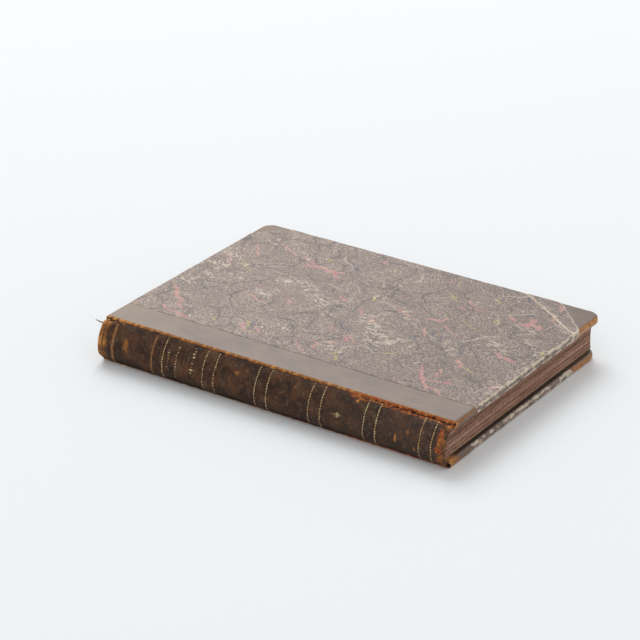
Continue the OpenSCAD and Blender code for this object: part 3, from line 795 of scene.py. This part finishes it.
spine = {
    "round": 8.3, "flare": 1.8, "flareLength": 40.0, "bandW": 8.2, "relief": 0.3, "bands": 7,
    "headMargin": 7.1, "tailMargin": 12.8, "around": 72, "pitch": 0.42, "hingeDepth": 0.4, "edgeDrop": 1.1,
    # rubbed spots: place along the spine, place round it, half length, half width, strength
    "scuffs": (
        (-95.5, 0.40, 2.6, 0.15, 0.78), (-92, 0.55, 6, 0.12, 0.34), (-20, 0.30, 2.2, 0.06, 0.85),
        (-14, 0.20, 1.4, 0.05, 0.7), (-24, 0.45, 1.0, 0.06, 0.6), (56.5, 0.12, 1.3, 0.05, 1.05),
        (46, 0.04, 12, 0.045, 0.95), (83.4, 0.60, 1.0, 0.11, 1.1), (95.5, 0.71, 0.8, 0.07, 1.0),
        (90.6, 0.40, 1.6, 0.07, 0.75), (110.3, 0.35, 1.6, 0.20, 0.8), (2, 0.62, 0.9, 0.05, 0.6),
        (18, 0.22, 1.8, 0.05, 0.7), (10, 0.42, 1.2, 0.04, 0.6), (-55, 0.16, 2.6, 0.04, 0.5),
        (111, 0.80, 2.4, 0.12, 0.9), (24, 0.55, 1.2, 0.04, 0.5), (-85, 0.78, 1.2, 0.04, 0.5),
        (44, 0.75, 1.0, 0.04, 0.5), (75, 0.30, 1.2, 0.03, 0.5)),
}
halfBand = spine["bandW"] / 2
roundCurve = np.array([
    [-spine["hingeDepth"], book["thickness"] - spine["edgeDrop"]],
    [-0.87 * spine["round"], 0.80 * book["thickness"]],
    [-1.45 * spine["round"], 0.26 * book["thickness"]],
    [-book["lean"] - spine["hingeDepth"], spine["edgeDrop"]],
])
bandPitch = (book["height"] - spine["headMargin"] - spine["tailMargin"]) / (spine["bands"] - 1)
bandCentres = -halfH + spine["headMargin"] + bandPitch * np.arange(spine["bands"])


def roundAt(t, out):
    # Four-point curve from the front joint to the back one, and a step out along its normal
    t = np.asarray(t, float)
    w = [(1 - t) ** 3, 3 * t * (1 - t) ** 2, 3 * t * t * (1 - t), t ** 3]
    d = [(1 - t) ** 2, 2 * t * (1 - t), t * t]
    y, z = (sum(w[k] * roundCurve[k][i] for k in range(4)) for i in (0, 1))
    dy, dz = (sum(d[k] * (roundCurve[k + 1][i] - roundCurve[k][i]) for k in range(3)) for i in (0, 1))
    n = np.hypot(dy, dz)
    return y + out * dz / n, z - out * dy / n


def slipAt(x):
    # The leather slips outwards over the last 40 mm before the tail, by the square of the way
    return spine["flare"] * np.maximum(0, (x - halfH + spine["flareLength"]) / spine["flareLength"]) ** 2


def onSpine(t, x, out):
    # A point of the spine's skin: the round at t, carried along the spine to x
    y, z = roundAt(t, out)
    y = y - slipAt(x) * (0.5 * (1 - t) + 0.7 * np.sin(math.pi * t))
    return np.stack([x + 0 * t, y + book["hingeY"], z], -1)


def reliefAt(x):
    # 1 on a band and 0 beside it, and the distance from the middle of the nearest band
    near = np.min(np.abs(np.asarray(x)[..., None] - bandCentres), axis=-1)
    return smooth(near, halfBand + 0.45, halfBand - 0.1), near


def faceHeight(t, x):
    # How far the skin's outer face stands out: bands in relief, slow swells, a groove at each side of a band
    relief, near = reliefAt(x)
    fade = np.minimum(1, np.minimum(8 * t, 8 * (1 - t)))
    swell = 0.10 * wander(51, 11, x, 30 * t) + 0.035 * wander(52, 2.6, x, 30 * t)
    groove = 0.07 * hump(near - halfBand - 0.5, 0.5)
    return spine["relief"] * relief * fade + swell * np.minimum(1, 6 * t * (1 - t)) - groove


def raggedEnd(t, x):
    # The folded ends are rubbed uneven: both go inwards by a wavering amount that grows at the joints
    tail = 0.8 + 0.40 * wander(61, 0.22, t) + 0.14 * wander(62, 0.05, t) + 1.5 * smooth(t, 0.85, 1.0)
    head = 0.25 + 0.10 * wander(63, 0.3, t) + 3.6 * smooth(t, 0.70, 1.02) ** 2
    head = head + 2.0 * smooth(t, 0.13, -0.02) ** 2
    return x - smooth(x, 108.5, 114.5) * tail + smooth(x, -106, -114.5) * head


def endToEnd(tuck, arc, face, side=1):
    # Values of the folded-in part, the fold and the face from the head on, and the same back to the tail
    return np.concatenate([side * tuck, side * arc, face, arc[::-1], tuck[::-1]])


def spineSkin():
    # A profile along the spine, folded in by a half round at both ends, carried round the back
    fold = book["foldT"]
    r = fold / 2
    turn = np.linspace(0, math.pi, 11)
    arcX, arcOut = halfH - r + r * np.sin(turn), -r - r * np.cos(turn)
    tuckX = np.linspace(halfH - book["turnIn"], halfH - r, 8)[:-1]
    faceX = np.arange(-halfH + r, halfH - r + 1e-6, spine["pitch"])[1:-1]
    xs = endToEnd(tuckX, arcX, faceX, -1)
    outs = endToEnd(0 * tuckX - fold, arcOut, 0 * faceX)
    onFace = endToEnd(0 * tuckX, smooth(arcOut, -r, 0), 0 * faceX + 1)
    around, along = np.meshgrid(np.linspace(0.0, 1.0, spine["around"]), xs, indexing="ij")
    out = outs + onFace * faceHeight(around, along)
    lip = onFace * 0.35 * (hump(along + 113.6, 1.0) + 0.6 * hump(along - 113.4, 1.1))
    points = onSpine(around, raggedEnd(around, along), out + lip)
    # rubbed at the head, the tail, the front joint and the foot, and in single spots
    head = (1.10 * fall(along + 110.6, 2.6) - 0.55 * hump(along + 111.2, 0.5)) * (along < 0)
    head = head * (0.85 + 0.3 * wander(66, 0.3, around))
    head = head + 0.35 * smooth(along, -95, -112) * smooth(around, 0.14, 0.0)
    tail = 0.70 * fall(113.0 - along, 1.8) * (along > 0) * (0.8 + 0.5 * wander(67, 0.2, around))
    edge = 0.50 + 0.10 * smooth(along, 20, 90) + 0.30 * smooth(along, -60, -110)
    edge = fall(around - 0.012, 0.022) * edge * (0.8 + 0.35 * wander(68, 13, along))
    foot = 0.25 * fall(1 - around, 0.02)
    scuffs = sum(power * hump(along - x, sizeX) * hump(around - t, sizeT)
                 for x, t, sizeX, sizeT, power in spine["scuffs"])
    rub = np.where(onFace > 0, np.minimum(1.3, head + tail + edge + foot + scuffs), 0.25)
    crack = 0.60 * hump(around, 0.05) * smooth(along, 50, 80)
    crack = crack + 0.50 * hump(along - 110.8, 2.6) * smooth(wander(64, 0.22, around), -0.5, 0.2)
    # Painted shade: the folded-in ends, and the spine darker towards its foot at the back joint
    paintedShade = np.maximum(0.5 * (onFace <= 0), 0.75 * smooth(around, 0.60, 0.95))
    marks = {"rub": rub, "band": reliefAt(along)[0] * onFace, "crack": crack, "paintedShade": paintedShade}
    return makeMesh("spine_skin", points, gridFaces(*along.shape, flip=True), finishes["spine"], marks)


skin = spineSkin()
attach(skin, "block")
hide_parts("spine_leather")


# Gilding: rope lines at both sides of each band, and small generic ornaments

gilding = {
    "lift": 0.05, "cross": 7, "around": 190, "inset": 0.6,
    # how much gold is left on each line, from head to tail, how bare the leather is beside it, and its width
    "left": (0.18, 0.42, 0.32, 0.70, 0.62, 0.62, 0.70, 0.70, 0.66, 0.64, 0.74, 0.78, 0.70, 0.66),
    "bare": (0.8, 0.95, 0.9, 0.3, 0.4, 0.3, 0.2, 0.2, 0.2, 0.3, 0.3, 0.3, 0.5, 0.6),
    "wide": (0.9, 2.1, 1.9, 0.9, 0.95, 0.9, 0.9, 0.9, 0.9, 0.95, 0.9, 0.95, 1.0, 1.0),
}


def giltLines():
    # Each line is a narrow strip laid on the face along a band's edge, highest in its middle
    t = np.linspace(0.022, 0.985, gilding["around"])
    y, z = roundAt(t, 0)
    way = np.concatenate([[0], np.cumsum(np.hypot(np.diff(y), np.diff(z)))])[:, None]
    around, over = np.meshgrid(t, np.linspace(-0.5, 0.5, gilding["cross"]), indexing="ij")
    sides = (2 * over) ** 4
    points, quads, uv, gold, rub = [], [], [], [], []
    for i, (left, bare, wide) in enumerate(zip(gilding["left"], gilding["bare"], gilding["wide"])):
        centre = bandCentres[i // 2] + (spine["bandW"] - gilding["inset"]) / 2 * (1 if i % 2 else -1)
        along = centre + over * wide + 0.12 * wander(70 + i, 9, 30 * around)
        out = faceHeight(around, along) + gilding["lift"] * (1 - sides * 1.6)
        points.append(onSpine(around, along, out).reshape(-1, 3))
        quads.append(gridFaces(*around.shape, flip=True) + i * around.size)
        uv.append(np.stack([over * wide, way + 0 * over + i * 60], -1).reshape(-1, 2))
        middle = np.exp(-(over * wide / 0.33) ** 4)
        gold.append((left * middle * (1 + 0.25 * wander(90 + i, 5, 30 * around))).ravel())
        rub.append((bare * (1 - sides * 0.8)).ravel())
    points, quads, uv, gold, rub = (np.concatenate(part) for part in (points, quads, uv, gold, rub))
    return makeMesh("gilt_lines", points, quads, finishes["gilt"], {"gold": gold, "rub": rub}, uv)


lines = giltLines()
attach(lines, "block")
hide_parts("gilt_fillets")


# Small lozenges of gold stand where such a spine has its lettering: three columns, and a larger one beyond
beads = {
    # place along the spine, first and last t, how many, half width, half height in t, gold left
    "columns": ((-65.6, 0.20, 0.66, 9, 1.0, 0.019, 0.58), (-60.2, 0.10, 0.78, 13, 0.75, 0.018, 0.72),
                (-49.4, 0.07, 0.84, 13, 1.35, 0.021, 0.82), (46.8, 0.50, 0.50, 1, 2.5, 0.060, 1.0)),
    "lift": 0.05, "grid": 5,
}


def giltBeads():
    # Each lozenge is a square grid turned by an eighth, so that its corners lie along and across the spine
    rng = np.random.default_rng(31)
    spec = np.concatenate([
        np.stack([np.full(n, x), np.linspace(first, last, n), wide * rng.uniform(0.45, 1.2, n),
                  tall * rng.uniform(0.6, 1.2, n), gold * rng.uniform(0.35, 1.15, n)], -1)
        for x, first, last, n, wide, tall, gold in beads["columns"]])
    x, t, wide, tall, gold = (spec[:, i, None, None] for i in range(5))
    grid, count = beads["grid"], len(spec)
    a, b = np.meshgrid(np.linspace(-1, 1, grid), np.linspace(-1, 1, grid), indexing="ij")
    t = t + tall * (a - b) / 2
    x = x + wide * (a + b) / 2 + 0.35 * wander(33, 0.12, t)
    points = onSpine(t, x, faceHeight(t, x) + beads["lift"])
    quads = gridFaces(grid, grid, flip=True)[None] + grid * grid * np.arange(count)[:, None, None]
    marks = {"gold": gold + 0 * t, "rub": np.full(t.shape, 0.3)}
    quads, flatUv = quads.reshape(-1, 4), np.zeros((t.size, 2))
    return makeMesh("gilt_beads", points, quads, finishes["gilt"], marks, flatUv)


sparks = giltBeads()
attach(sparks, "block")


# A broken end of the head's sewing thread sticks out of the cap
thread = {
    "from": (-113.4, -76.6, 21.0), "to": (-119.8, -77.2, 22.6), "radius": 0.46, "around": 8, "along": 26,
}


def threadEnd():
    # A round rod whose middle line wavers and whose radius falls towards its end
    s = np.linspace(0, 1, thread["along"])
    a = np.linspace(0, 2 * math.pi, thread["around"] + 1)[:-1]
    start, end = np.array(thread["from"]), np.array(thread["to"])
    middle = start + (end - start) * s[:, None]
    middle[:, 2] += 0.45 * np.sin(5.5 * s) * s
    middle[:, 1] += 0.30 * np.sin(8.0 * s + 1)
    radius = thread["radius"] * (1 - 0.55 * s) * (1 + 0.18 * np.sin(34 * s))
    ring = np.stack([0 * a, np.cos(a), np.sin(a)], -1)
    points = middle[:, None, :] + radius[:, None, None] * ring[None]
    return makeMesh("thread_end", points, gridFaces(len(s), len(a), closed=True), finishes["thread"])


loose = threadEnd()
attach(loose, "block")


# Joints: one strip of worn leather from the spine to each cover

joint = {
    "cols": 520, "rows": 52, "lift": 0.05,
    # the profile past the spine: distance from the hinge and height, in millimetres
    "over": ((-0.15, 24.35), (0.1, 24.70), (0.4, 24.90), (0.75, 25.0), (1.1, 25.03), (1.5, 24.99),
             (1.9, 24.90), (2.3, 24.78)),
    # small gaps: place along the joint, half length, strength
    "gaps": ((-40, 2.0, 1), (-30, 1.3, 0.8), (-8, 1.8, 1), (22, 1.2, 0.7)),
}


def jointStrip(front):
    # A profile from the rounded spine over the joint to the cover, carried along the joint;
    # across is the distance in millimetres from the joint's edge, negative on the spine's side
    seed = 101 if front else 131
    near = np.stack(roundAt(0.085 * (1 - np.linspace(0, 1, 17)), 0.0), -1)
    knots = np.concatenate([near, joint["over"]])
    reach = np.concatenate([[0], np.cumsum(np.hypot(*np.diff(knots, axis=0).T))])
    even = np.linspace(0, reach[-1], joint["rows"])
    across = (even - reach[len(near) - 1])[:, None]
    along = np.linspace(-halfH + 1.6, halfH - 0.6, joint["cols"])[None, :] + 0 * across
    bump = smooth(across, -2.0, -0.8) * smooth(across, 2.8, 1.4)
    lift = joint["lift"] * smooth(even[:, None], 0.0, 0.6)
    y = np.interp(even, reach, knots[:, 0])[:, None] - lift * 0.6 + bump * 0.22 * wander(seed + 2, 5, along)
    z = np.interp(even, reach, knots[:, 1])[:, None] + lift
    z = z + bump * (0.05 + 0.05 * wander(seed, 5.0, along) + 0.03 * wander(seed + 1, 1.1, along))
    # open splits at the tail and small gaps towards the head
    wave = 0.25 * wander(seed + 4, 6, along) + 0.10 * wander(seed + 7, 1.6, along)
    opened = smooth(along, 54, 66) * smooth(along, 113, 108)
    opened = opened * smooth(wander(seed + 3, 7, along), -0.75, -0.1)
    small = sum(power * np.exp(-((along - place) / size) ** 4) for place, size, power in joint["gaps"])
    split = np.clip(opened + small, 0, 1) * hump(across + 0.15 - wave, 0.48)
    second = smooth(along, 70, 84) * smooth(along, 112, 106) * smooth(wander(seed + 8, 5, along), 0.0, 0.4)
    split = np.maximum(split, second * hump(across + 0.9 - wave, 0.25))
    z = z - 0.45 * split
    y = y - slipAt(along) * 0.5 * smooth(across, 0.6, -1.4) * (1 if front else 0)
    tailwards = smooth(along, 40, 80)
    worn = smooth(across + 0.30 * wander(seed + 5, 8, along), 0.05 - 0.9 * tailwards, 0.80 - 0.6 * tailwards)
    rub = 0.12 + 0.76 * worn + 0.20 * smooth(along, -80, -112)
    rub = rub * (0.95 + 0.26 * wander(seed + 6, 4, along)) - 0.10 * tailwards
    rust = 0.60 * smooth(along, 42, 62) * hump(across + 0.1 - wave, 2.2)
    points = np.stack([along, y + book["hingeY"], z], -1)
    if not front:
        # the back joint has the same profile, turned over and set back by the lean
        points = points * (1, 1, -1) + (0, -book["lean"], book["thickness"])
    name = sideName(front) + "_joint_skin"
    marks = {"rub": rub, "crack": np.clip(np.maximum(split, rust), 0, 1)}
    return makeMesh(name, points, gridFaces(*along.shape, flip=not front), finishes["spine"], marks)


def bendAcross(piece, front):
    # Bakes the strip's placement into its mesh; the lines 0.9 mm before the hinge and 1.2 mm past it are
    # worked out but not used, so the strip does not turn with the cover
    y = book["hingeY"] - (0 if front else book["lean"])
    z = book["thickness"] - spine["hingeDepth"] if front else spine["hingeDepth"]
    (y - 0.9) * mm
    z * mm
    (y + 1.2) * mm
    z * mm
    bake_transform(piece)


for front in (True, False):
    bendAcross(jointStrip(front), front)
print("spine, gilding and joints dressed")


# Pages: leaves follow the backed round, fan out at the shoulders and run flat to the fore edge

pages = {
    "rows": 150, "depth": 60, "length": 90, "run": 7.0, "hollow": 0.8, "leaf": 0.055, "gap": 0.16,
    "sections": 15, "fan": 0.3,  # share of the depth over which the leaves fan out
    # gaps between the sections that show most: height in the block and strength
    "open": ((0.715, 0.9), (0.62, 1.0), (0.52, 0.6), (0.27, 0.6), (0.13, 0.6)),
    "uvDepth": 150, "uvAside": 300,
}


def leafPoint(w, b):
    # w: 0 at the lowest leaf, 1 at the top one; b: 0 at the back, 1 at the fore edge
    backY, backZ = roundAt(0.95 - 0.90 * w, -book["blockDepth"])
    flatZ = book["pagesLow"] + w * book["pagesT"]
    foreY = book["width"] - book["squareFore"] - 4 * pages["hollow"] * w * (1 - w)
    fan, run = pages["fan"], pages["run"]
    s = np.clip(b / fan, 0, 1)
    nearY = backY + run * (0.6 * s * (1 - s) ** 2 + 1.35 * s * s * (1 - s) + s ** 3)
    farY = backY + run + (foreY - backY - run) * np.clip((b - fan) / (1 - fan), 0, 1)
    rise = (1 - s) ** 3 + 0.75 * s * (1 - s) ** 2
    return np.where(b < fan, nearY, farY), flatZ + (backZ - flatZ) * rise


def textBlock():
    # Six grids of leaf points, for head and tail, back and fore edge, lowest and top leaf; every leaf ends
    # a little differently, and the leaves at a gap between two sections stand back
    rng = np.random.default_rng(7)
    rows, thick, fan = pages["rows"], book["pagesT"], pages["fan"]
    w = np.linspace(0, 1, rows)
    b = np.concatenate([np.linspace(0, fan, 16)[:-1], np.linspace(fan, 1, pages["depth"] - 15)])
    a = np.linspace(-1, 1, pages["length"])
    gapAt = np.sort(rng.uniform(0.02, 0.98, pages["sections"]))
    depthOf = rng.uniform(0.10, 0.45, len(gapAt))
    openAt, openBy = np.array(pages["open"]).T
    gapAt, depthOf = np.concatenate([gapAt, openAt]), np.concatenate([depthOf, openBy])
    gapWide = np.where(depthOf > 0.5, 0.026, 0.017)
    gap = np.max(hump(w[:, None] - gapAt, gapWide) * depthOf, axis=1)
    step = rng.normal(0, 1, rows) * pages["leaf"] - gap * pages["gap"]
    half = halfH - book["squareEnd"]

    def face(side, deep, leaf):
        # side: -1 at the head, 1 at the tail; deep as b of leafPoint; leaf: number of the leaf
        y, z = leafPoint(w[leaf], deep)
        end = step[leaf] + 0.10 * wander(41, 30, y) * (leaf > 0)
        x = side * (half + end * np.abs(side) ** 8)
        y = y + book["hingeY"] + (step[leaf] + 0.12 * wander(43, 40, x)) * (deep > 0.999)
        return np.stack([x, y, z], -1)

    grids = []
    leaf, deep = np.meshgrid(np.arange(rows), b, indexing="ij")
    for side in (-1, 1):
        coords = (deep * pages["uvDepth"], w[leaf] * thick)
        grids.append((face(side + 0 * deep, deep, leaf), coords, gap[leaf]))
    leaf, side = np.meshgrid(np.arange(rows), a, indexing="ij")
    for deep in (0.0, 1.0):
        coords = (side * half + pages["uvAside"], w[leaf] * thick)
        grids.append((face(side, deep + 0 * side, leaf), coords, gap[leaf]))
    deep, side = np.meshgrid(b, a, indexing="ij")
    for level in (0, rows - 1):
        coords = (side * half, deep * pages["uvDepth"])
        grids.append((face(side, deep, np.full(deep.shape, level)), coords, 0 * deep))
    points, quads, uv, marks, count = [], [], [], [], 0
    for grid, coords, dark in grids:
        points.append(grid.reshape(-1, 3))
        uv.append(np.stack(coords, -1).reshape(-1, 2) * mm)
        marks.append(dark.ravel())
        quads.append(gridFaces(*dark.shape) + count)
        count += dark.size
    points, quads, uv, marks = (np.concatenate(part) for part in (points, quads, uv, marks))
    return makeMesh("page_block", points, quads, finishes["pages"], {"gap": marks}, uv, weld=True)


block = textBlock()
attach(block, "block")
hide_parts("text_block")
print("pages dressed")


# The remaining solids keep their shapes and get their finishes

keptFinish = {
    "endpaper": ("front_endpaper", "back_endpaper", "front_pastedown", "back_pastedown"),
    "lining": ("spine_lining", "spine_stiffener"),
    "board": ("front_board", "back_board"),
    "cord": ("sewing_cord_1", "sewing_cord_2", "sewing_cord_3", "sewing_cord_4", "sewing_cord_5"),
}
for key, names in keptFinish.items():
    for name in names:
        mesh = frame["nodes"][name].data
        if not mesh.materials:
            mesh.materials.append(finishes[key])
        for i in range(len(mesh.materials)):
            mesh.materials[i] = finishes[key]


# Floor, light and camera

studio = {
    "floor": (0.880, 0.911, 0.936), "floorHalf": 4.0, "floorDrop": 0.0002,
    "backdrop": (0.95, 0.97, 0.99), "sky": (1.0, 0.985, 0.97), "daylight": 0.60,
    # place, size and power of the lamps, which face the book
    "lamps": {"window light": ((-2.43, 2.43, 3.65), (2.97, 2.97), 133),
              "front fill": ((1.2, -3.2, 2.4), (2.8, 2.0), 15)},
    "azimuth": 34.1, "elevation": 25.55, "eye": (0.7093, -1.0770, 0.6400),
    "lens": 143.4, "sensor": 36, "clip": (0.05, 20),
}


def floorPlane():
    mesh = bpy.data.meshes.new("floor")
    r = studio["floorHalf"]
    mesh.from_pydata([(-r, -r, 0), (r, -r, 0), (r, r, 0), (-r, r, 0)], [], [(0, 1, 2, 3)])
    f = Finish("floor", 0.9)
    f.sockets["Base Color"].default_value = (*studio["floor"], 1)
    mesh.materials.append(f.material)
    floor = bpy.data.objects.new("floor", mesh)
    bpy.context.scene.collection.objects.link(floor)
    floor.location.z = -studio["floorDrop"]


def studioLight():
    # The camera, gloss and glass see the backdrop, and everything else is lit by the sky
    world = bpy.data.worlds.new("studio")
    bpy.context.scene.world = world
    nodes = Nodes(world)
    direct = nodes.add("ShaderNodeLightPath", out="Is Camera Ray")
    share = direct.larger(direct.sibling("Is Glossy Ray")).larger(direct.sibling("Is Transmission Ray"))
    seen = nodes.add("ShaderNodeBackground", None, {"Color": (*studio["backdrop"], 1)})
    soft = nodes.add("ShaderNodeBackground", None, {
        "Color": (*studio["sky"], 1), "Strength": studio["daylight"]})
    blend = nodes.add("ShaderNodeMixShader", None, {0: share, 1: soft, 2: seen})
    nodes.add("ShaderNodeOutputWorld", None, {0: blend})


def softbox(name, place, size, power):
    lamp = bpy.data.lights.new(name, "AREA")
    lamp.shape = "RECTANGLE"
    lamp.size, lamp.size_y = size
    lamp.energy = power
    holder = bpy.data.objects.new(name, lamp)
    bpy.context.scene.collection.objects.link(holder)
    holder.location = place
    holder.rotation_euler = (-Vector(place)).to_track_quat("-Z", "Y").to_euler()


def aimCamera():
    # Camera direction from its azimuth and elevation, level horizon
    azimuth, elevation = math.radians(studio["azimuth"]), math.radians(studio["elevation"])
    flat = math.cos(elevation)
    back = Vector((math.sin(azimuth) * flat, -math.cos(azimuth) * flat, math.sin(elevation)))
    right = Vector((math.cos(azimuth), math.sin(azimuth), 0))
    camera = bpy.data.cameras.new("camera")
    camera.lens, camera.sensor_width = studio["lens"], studio["sensor"]
    camera.clip_start, camera.clip_end = studio["clip"]
    holder = bpy.data.objects.new("camera", camera)
    turn = Matrix((right, back.cross(right), back)).transposed().to_4x4()
    holder.matrix_world = Matrix.Translation(Vector(studio["eye"])) @ turn
    bpy.context.scene.collection.objects.link(holder)
    bpy.context.scene.camera = holder


floorPlane()
studioLight()
for name, (place, size, power) in studio["lamps"].items():
    softbox(name, place, size, power)
aimCamera()
bpy.context.scene.view_settings.view_transform = "Standard"
print("studio ready")
